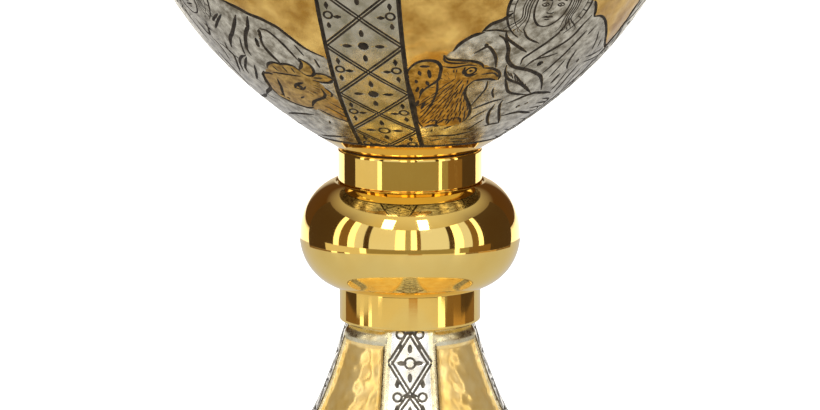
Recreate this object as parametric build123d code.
"""Communion chalice: engraved bowl, turned knop and flared foot, held together by a threaded rod.

Every piece is turned about the Z axis, and the foot stands on the plane Z = 0. Lengths are millimetres.
An outline is drawn as (radius, height) and then turned into the piece.
"""

from build123d import *
import math
import os

# Heights of the visible pieces, from the foot upwards
FOOT_HEIGHT = 72.0
LOWER_COLLAR_SHOWS = 7.5
KNOP_BELOW_WIDEST = 12.0
KNOP_ABOVE_WIDEST = 12.7
UPPER_COLLAR_SHOWS = 7.0
SEAT_WASHER_THICKNESS = 0.3
BOWL_HEIGHT = 63.5

# Bowl: outer line of the calyx from its flat seat to the rim
BOWL_SEAT_INSET = 0.3  # the bowl's flat seat stands in from the upper collar's edge
BOWL_RIM_RADIUS = 66.0
BOWL_POINTS = ((0.181, 0.334), (0.417, 0.634), (0.709, 0.870))  # share of height, share of spread
BOWL_SEAT_SLOPE = 1.69  # radius gained per millimetre of height
BOWL_RIM_SLOPE = 0.22
CALYX_WALL = 0.8
CALYX_TOP_BELOW_RIM = 9.5
RIM_WIRE_RADIUS = 0.9
LINER_WALL = 0.9
LINER_FLOOR_HEIGHT = 9.8
LINER_FLOOR_RADIUS = 9.0
LINER_MEETS_CALYX = 0.55  # share of the bowl's line where the liner comes down off the calyx
LIP_RADIUS = 1.2
SHELL_GAP = 0.1

# Boss under the cup
BOSS_FLANGE_RADIUS = 12.0
BOSS_FLANGE_THICKNESS = 2.0
BOSS_BODY_RADIUS = 8.0
BOSS_SHANK_RADIUS = 7.0
BOSS_SHANK_LENGTH = 1.5
BOSS_ROOF = 0.9
SEAT_WASHER_INSET = 1.0

# Collars
UPPER_COLLAR_RADIUS = 16.3
LOWER_COLLAR_RADIUS = 16.0
COLLAR_WALL = 2.0
COLLAR_BEVEL = 0.25
COLLAR_DISC_THICKNESS = 2.0
COLLAR_SINKS_INTO_KNOP = 0.8

# Knop: each half is a quarter of an ellipse swept round, ending at a small lip
KNOP_RADIUS = 25.0
KNOP_CORE_RADIUS = 14.0
KNOP_CURVE_ABOVE = 12.9
KNOP_CURVE_BELOW = 12.0
KNOP_WALL = 1.0
KNOP_LIP_WALL = 0.5
KNOP_LIP_GAP = 0.45
KNOP_DISC_THICKNESS = 1.6
KNOP_FLANGE_WALL = 1.0
KNOP_TUBE_WALL = 2.0

# Foot: outer line of the flare from the base ring up to the neck
FOOT_NECK_INSET = 1.7  # the neck stands in from the lower collar's edge
FOOT_BASE_RADIUS = 66.0
FOOT_POINTS = ((0.270, 0.530), (0.671, 0.158), (0.850, 0.063))  # share of height, share of spread
FOOT_BASE_SLOPE = 1.85  # radius lost per millimetre of height
FOOT_NECK_SLOPE = 0.38
FOOT_WALL = 1.2
BASE_RING_RADIUS = 68.0
BASE_RING_HEIGHT = 5.0
BASE_RING_WIDTH = 6.5
BASE_RING_BEAD = 1.6
NECK_PLATE_THICKNESS = 3.0

# Tie rod and its fastenings
ROD_RADIUS = 3.95
THREAD_CLEARANCE = 0.05
ROD_CLEARANCE = 0.25
ROD_TIP_GAP = 0.5
ROD_SHOWS_BELOW_NUT = 2.0
ROD_CHAMFER = 0.8
NUT_ACROSS_FLATS = 13.0
JAM_NUT_HEIGHT = 4.0
CLAMP_NUT_HEIGHT = 6.5
NUT_CHAMFER = 0.5
CLAMP_WASHER_RADIUS = 12.0
CLAMP_WASHER_THICKNESS = 1.6
SPRING_WASHER_WIDTH = 2.7
SPRING_WASHER_THICKNESS = 2.0
SPRING_WASHER_SPLIT = 1.2

# Fits
SLIP_FIT = 0.05

# Radii that follow from the pieces they fit
BOWL_SEAT_RADIUS = UPPER_COLLAR_RADIUS - BOWL_SEAT_INSET
SEAT_WASHER_RADIUS = UPPER_COLLAR_RADIUS - SEAT_WASHER_INSET
FOOT_NECK_RADIUS = LOWER_COLLAR_RADIUS - FOOT_NECK_INSET
THREAD_HOLE_RADIUS = ROD_RADIUS + THREAD_CLEARANCE
CLEARANCE_HOLE_RADIUS = ROD_RADIUS + ROD_CLEARANCE
SPRING_WASHER_RADIUS = CLEARANCE_HOLE_RADIUS + SPRING_WASHER_WIDTH

# Levels that follow from the heights
LOWER_COLLAR_BOTTOM = FOOT_HEIGHT
KNOP_BOTTOM = LOWER_COLLAR_BOTTOM + LOWER_COLLAR_SHOWS
KNOP_WIDEST = KNOP_BOTTOM + KNOP_BELOW_WIDEST
KNOP_TOP = KNOP_WIDEST + KNOP_ABOVE_WIDEST
UPPER_COLLAR_BOTTOM = KNOP_TOP - COLLAR_SINKS_INTO_KNOP
UPPER_COLLAR_TOP = KNOP_TOP + UPPER_COLLAR_SHOWS
BOWL_BOTTOM = UPPER_COLLAR_TOP + SEAT_WASHER_THICKNESS
RIM_LEVEL = BOWL_BOTTOM + BOWL_HEIGHT
LOWER_COLLAR_TOP = KNOP_BOTTOM + COLLAR_SINKS_INTO_KNOP
NECK_PLATE_BOTTOM = FOOT_HEIGHT - NECK_PLATE_THICKNESS
SPRING_WASHER_TOP = NECK_PLATE_BOTTOM - CLAMP_WASHER_THICKNESS
CLAMP_NUT_TOP = SPRING_WASHER_TOP - SPRING_WASHER_THICKNESS
CLAMP_NUT_BOTTOM = CLAMP_NUT_TOP - CLAMP_NUT_HEIGHT
ROD_BOTTOM = CLAMP_NUT_BOTTOM - ROD_SHOWS_BELOW_NUT
THREAD_HOLE_TOP = BOWL_BOTTOM + LINER_FLOOR_HEIGHT - BOSS_ROOF
ROD_TOP = THREAD_HOLE_TOP - ROD_TIP_GAP


def turned(outline):
    """Turn a flat outline, drawn as (radius, height), about the Z axis."""
    return revolve(Plane.XZ * outline, Axis.Z)


def block(inner, outer, bottom, top):
    """Rectangle between two radii and two levels."""
    centre = Pos((inner + outer) / 2, (bottom + top) / 2)
    return centre * Rectangle(outer - inner, top - bottom)


def ring(inner, outer, bottom, top):
    """Plain turned ring or disc between two radii and two levels."""
    return turned(block(inner, outer, bottom, top))


def inward(curve, share, depth):
    """Point at a share of a rising curve's length, moved towards the axis along its normal."""
    point = curve @ share
    along = curve % share
    return (point.X - depth * along.Y, point.Y + depth * along.X)


def inward_level(curve, share, depth):
    """The same, moved along the radius, so that the point keeps its level."""
    point = curve @ share
    along = curve % share
    return (point.X - depth / along.Y, point.Y)


def radius_at(curve, level):
    """Radius of a rising curve at a level, found by halving."""
    low, high = 0.0, 1.0
    for _ in range(40):
        middle = (low + high) / 2
        if (curve @ middle).Y < level:
            low = middle
        else:
            high = middle
    return (curve @ low).X


def bowl_line():
    """Outer line of the bowl, from its seat up to the rim."""
    spread = BOWL_RIM_RADIUS - BOWL_SEAT_RADIUS
    points = [(BOWL_SEAT_RADIUS, BOWL_BOTTOM)]
    for up, out in BOWL_POINTS:
        points.append((BOWL_SEAT_RADIUS + out * spread, BOWL_BOTTOM + up * BOWL_HEIGHT))
    points.append((BOWL_RIM_RADIUS, RIM_LEVEL))
    return Spline(*points, tangents=[(BOWL_SEAT_SLOPE, 1), (BOWL_RIM_SLOPE, 1)])


def liner_line():
    """Outer line of the cup liner: a flat floor's edge, a round bottom, then along inside the calyx."""
    outside = bowl_line()
    depth = CALYX_WALL + SHELL_GAP
    shares = [LINER_MEETS_CALYX + (1 - LINER_MEETS_CALYX) * step / 3 for step in range(3)]
    points = [(LINER_FLOOR_RADIUS, BOWL_BOTTOM + LINER_FLOOR_HEIGHT)]
    points += [inward(outside, share, depth) for share in shares]
    points.append(inward_level(outside, 1, depth))
    return Spline(*points, tangents=[(1, 0), (BOWL_RIM_SLOPE, 1)])


def foot_line():
    """Outer line of the foot, from the base ring up to the neck."""
    spread = FOOT_BASE_RADIUS - FOOT_NECK_RADIUS
    flare = FOOT_HEIGHT - BASE_RING_HEIGHT
    points = [(FOOT_BASE_RADIUS, BASE_RING_HEIGHT)]
    for up, out in FOOT_POINTS:
        points.append((FOOT_NECK_RADIUS + out * spread, BASE_RING_HEIGHT + up * flare))
    points.append((FOOT_NECK_RADIUS, FOOT_HEIGHT))
    return Spline(*points, tangents=[(-FOOT_BASE_SLOPE, 1), (-FOOT_NECK_SLOPE, 1)])


def inner_line(curve, wall, first, last):
    """Line inside a wall, from a first point to a last point, parallel to the curve between them."""
    shares = [step / 7 for step in range(1, 7)]
    return Spline(first, *[inward(curve, share, wall) for share in shares], last)


def calyx_shell():
    outside = bowl_line()
    floor_edge = inward(outside, 0, CALYX_WALL)
    rim_edge = inward_level(outside, 1, CALYX_WALL)
    inside = inner_line(outside, CALYX_WALL, floor_edge, rim_edge)
    hole = BOSS_SHANK_RADIUS + SLIP_FIT
    floor = Polyline(floor_edge, (hole, floor_edge[1]), (hole, BOWL_BOTTOM), outside @ 0)
    wall = make_face([outside, Line(outside @ 1, rim_edge), inside, floor])
    top = RIM_LEVEL - CALYX_TOP_BELOW_RIM
    return turned(wall & block(0, 2 * BOWL_RIM_RADIUS, BOWL_BOTTOM, top))


def cup_liner():
    outside = liner_line()
    floor = BOWL_BOTTOM + LINER_FLOOR_HEIGHT
    floor_edge = inward(outside, 0, LINER_WALL)
    rim_edge = inward_level(outside, 1, LINER_WALL)
    inside = inner_line(outside, LINER_WALL, floor_edge, rim_edge)
    bottom = Polyline(floor_edge, (0, floor_edge[1]), (0, floor), outside @ 0)
    wall = make_face([outside, Line(outside @ 1, rim_edge), inside, bottom])
    lip_level = RIM_LEVEL - LIP_RADIUS
    lip = Pos(radius_at(outside, lip_level) - LINER_WALL / 2, lip_level) * Circle(LIP_RADIUS)
    below_lip = wall & block(0, 2 * BOWL_RIM_RADIUS, BOWL_BOTTOM, lip_level)
    return turned(below_lip + lip)


def calyx_rim_wire():
    level = RIM_LEVEL - CALYX_TOP_BELOW_RIM + RIM_WIRE_RADIUS + SHELL_GAP
    centre = radius_at(liner_line(), level) + RIM_WIRE_RADIUS + SHELL_GAP
    return turned(Pos(centre, level) * Circle(RIM_WIRE_RADIUS))


def cup_boss():
    floor = inward(bowl_line(), 0, CALYX_WALL)[1]
    flange_top = floor + BOSS_FLANGE_THICKNESS
    top = BOWL_BOTTOM + LINER_FLOOR_HEIGHT
    shank_bottom = BOWL_BOTTOM - BOSS_SHANK_LENGTH
    body = ring(0, BOSS_BODY_RADIUS, flange_top, top)
    flange = ring(0, BOSS_FLANGE_RADIUS, floor, flange_top)
    shank = ring(0, BOSS_SHANK_RADIUS, shank_bottom, floor)
    hole = ring(0, THREAD_HOLE_RADIUS, shank_bottom, THREAD_HOLE_TOP)
    return body + flange + shank - hole


def seat_washer():
    return ring(BOSS_SHANK_RADIUS + SLIP_FIT, SEAT_WASHER_RADIUS, UPPER_COLLAR_TOP, BOWL_BOTTOM)


def collar(radius, bottom, top):
    """Polished ring with its outer corners just broken."""
    tube = ring(radius - COLLAR_WALL, radius, bottom, top)
    corners = tube.edges().filter_by(GeomType.CIRCLE).group_by(SortBy.RADIUS)[-1]
    return chamfer(corners, COLLAR_BEVEL)


def collar_disc(radius, bottom):
    """Disc that fills a collar's bore and centres it on the rod."""
    edge = radius - COLLAR_WALL - SLIP_FIT
    return ring(CLEARANCE_HOLE_RADIUS, edge, bottom, bottom + COLLAR_DISC_THICKNESS)


def knop_half(collar_radius, curve_height, upward, lip_level):
    """Half of the knop's shell, from its widest line to the lip round one collar."""
    centre = Pos(KNOP_CORE_RADIUS, KNOP_WIDEST)
    spread = KNOP_RADIUS - KNOP_CORE_RADIUS
    outside = centre * Ellipse(spread, curve_height)
    inside = centre * Ellipse(spread - KNOP_WALL, curve_height - KNOP_WALL)
    mouth = collar_radius + KNOP_LIP_GAP
    flange_end = lip_level - upward * (COLLAR_SINKS_INTO_KNOP + KNOP_DISC_THICKNESS)
    levels = sorted([KNOP_WIDEST, KNOP_WIDEST + upward * 2 * curve_height])
    shell = (outside - inside) & block(mouth, KNOP_RADIUS, levels[0], levels[1])
    curve_level = KNOP_WIDEST + upward * (curve_height - KNOP_WALL)
    lip = block(mouth, mouth + KNOP_LIP_WALL, *sorted([curve_level, lip_level]))
    flange = block(mouth, mouth + KNOP_FLANGE_WALL, *sorted([curve_level, flange_end]))
    return turned(shell + lip + flange)


def knop_upper_shell():
    return knop_half(UPPER_COLLAR_RADIUS, KNOP_CURVE_ABOVE, 1, KNOP_TOP)


def knop_lower_shell():
    return knop_half(LOWER_COLLAR_RADIUS, KNOP_CURVE_BELOW, -1, KNOP_BOTTOM)


def knop_disc(collar_radius, bottom):
    """Disc that closes one end of the knop and carries or caps a collar."""
    edge = collar_radius + KNOP_LIP_GAP - SLIP_FIT
    return ring(CLEARANCE_HOLE_RADIUS, edge, bottom, bottom + KNOP_DISC_THICKNESS)


def knop_tube():
    outer = CLEARANCE_HOLE_RADIUS + KNOP_TUBE_WALL
    bottom = LOWER_COLLAR_TOP + KNOP_DISC_THICKNESS
    top = UPPER_COLLAR_BOTTOM - KNOP_DISC_THICKNESS
    return ring(CLEARANCE_HOLE_RADIUS, outer, bottom, top)


def foot_shell():
    outside = foot_line()
    base_edge = inward_level(outside, 0, FOOT_WALL)
    neck_edge = inward_level(outside, 1, FOOT_WALL)
    inside = inner_line(outside, FOOT_WALL, base_edge, neck_edge)
    return turned(make_face([outside, Line(outside @ 1, neck_edge), inside, Line(base_edge, outside @ 0)]))


def foot_neck_plate():
    """Plate inside the neck, with its rim as wide as the neck lets it be at the plate's top."""
    edge = inward_level(foot_line(), 1, FOOT_WALL)[0] - SLIP_FIT
    return ring(CLEARANCE_HOLE_RADIUS, edge, NECK_PLATE_BOTTOM, FOOT_HEIGHT)


def foot_base_ring():
    """Base moulding: an upright ring with a round bead along its foot."""
    inner = BASE_RING_RADIUS - BASE_RING_WIDTH
    shoulder = BASE_RING_RADIUS - BASE_RING_BEAD
    upright = block(inner, shoulder, 0, BASE_RING_HEIGHT)
    bead = Pos(shoulder, BASE_RING_BEAD) * Circle(BASE_RING_BEAD)
    return turned(upright + bead)


def tie_rod():
    rod = ring(0, ROD_RADIUS, ROD_BOTTOM, ROD_TOP)
    return chamfer(rod.edges().filter_by(GeomType.CIRCLE), ROD_CHAMFER)


def hex_nut(height, bottom):
    """Hexagon nut with chamfered corners, bored for the threaded rod."""
    flats = extrude(RegularPolygon(NUT_ACROSS_FLATS / 2, 6, major_radius=False), height)
    corner = NUT_ACROSS_FLATS / math.sqrt(3)
    blank = chamfer(Cylinder(corner, height).edges().filter_by(GeomType.CIRCLE), NUT_CHAMFER)
    hole = Cylinder(THREAD_HOLE_RADIUS, 2 * height)
    return Pos(0, 0, bottom) * ((flats & Pos(0, 0, height / 2) * blank) - hole)


def stem_jam_nut():
    return hex_nut(JAM_NUT_HEIGHT, UPPER_COLLAR_BOTTOM + COLLAR_DISC_THICKNESS)


def clamp_nut():
    return hex_nut(CLAMP_NUT_HEIGHT, CLAMP_NUT_BOTTOM)


def clamp_washer():
    return ring(CLEARANCE_HOLE_RADIUS, CLAMP_WASHER_RADIUS, SPRING_WASHER_TOP, NECK_PLATE_BOTTOM)


def spring_washer():
    """Split washer, closed flat under the nut's load."""
    whole = ring(CLEARANCE_HOLE_RADIUS, SPRING_WASHER_RADIUS, CLAMP_NUT_TOP, SPRING_WASHER_TOP)
    middle = (CLAMP_NUT_TOP + SPRING_WASHER_TOP) / 2
    cut = Pos(SPRING_WASHER_RADIUS, 0, middle) * Box(
        2 * SPRING_WASHER_RADIUS - CLEARANCE_HOLE_RADIUS, SPRING_WASHER_SPLIT, 2 * SPRING_WASHER_THICKNESS
    )
    return whole - cut


def chalice():
    """Every piece by name, in its place."""
    return {
        "cup_liner": cup_liner(),
        "calyx_shell": calyx_shell(),
        "calyx_rim_wire": calyx_rim_wire(),
        "cup_boss": cup_boss(),
        "seat_washer": seat_washer(),
        "upper_collar": collar(UPPER_COLLAR_RADIUS, UPPER_COLLAR_BOTTOM, UPPER_COLLAR_TOP),
        "upper_collar_disc": collar_disc(UPPER_COLLAR_RADIUS, UPPER_COLLAR_BOTTOM),
        "stem_jam_nut": stem_jam_nut(),
        "knop_upper_disc": knop_disc(UPPER_COLLAR_RADIUS, UPPER_COLLAR_BOTTOM - KNOP_DISC_THICKNESS),
        "knop_upper_shell": knop_upper_shell(),
        "knop_tube": knop_tube(),
        "knop_lower_shell": knop_lower_shell(),
        "knop_lower_disc": knop_disc(LOWER_COLLAR_RADIUS, LOWER_COLLAR_TOP),
        "lower_collar": collar(LOWER_COLLAR_RADIUS, LOWER_COLLAR_BOTTOM, LOWER_COLLAR_TOP),
        "lower_collar_disc": collar_disc(LOWER_COLLAR_RADIUS, LOWER_COLLAR_BOTTOM),
        "foot_shell": foot_shell(),
        "foot_neck_plate": foot_neck_plate(),
        "foot_base_ring": foot_base_ring(),
        "tie_rod": tie_rod(),
        "clamp_washer": clamp_washer(),
        "spring_washer": spring_washer(),
        "clamp_nut": clamp_nut(),
    }


os.makedirs("parts", exist_ok=True)
for name, piece in chalice().items():
    export_step(piece, f"parts/{name}.step")
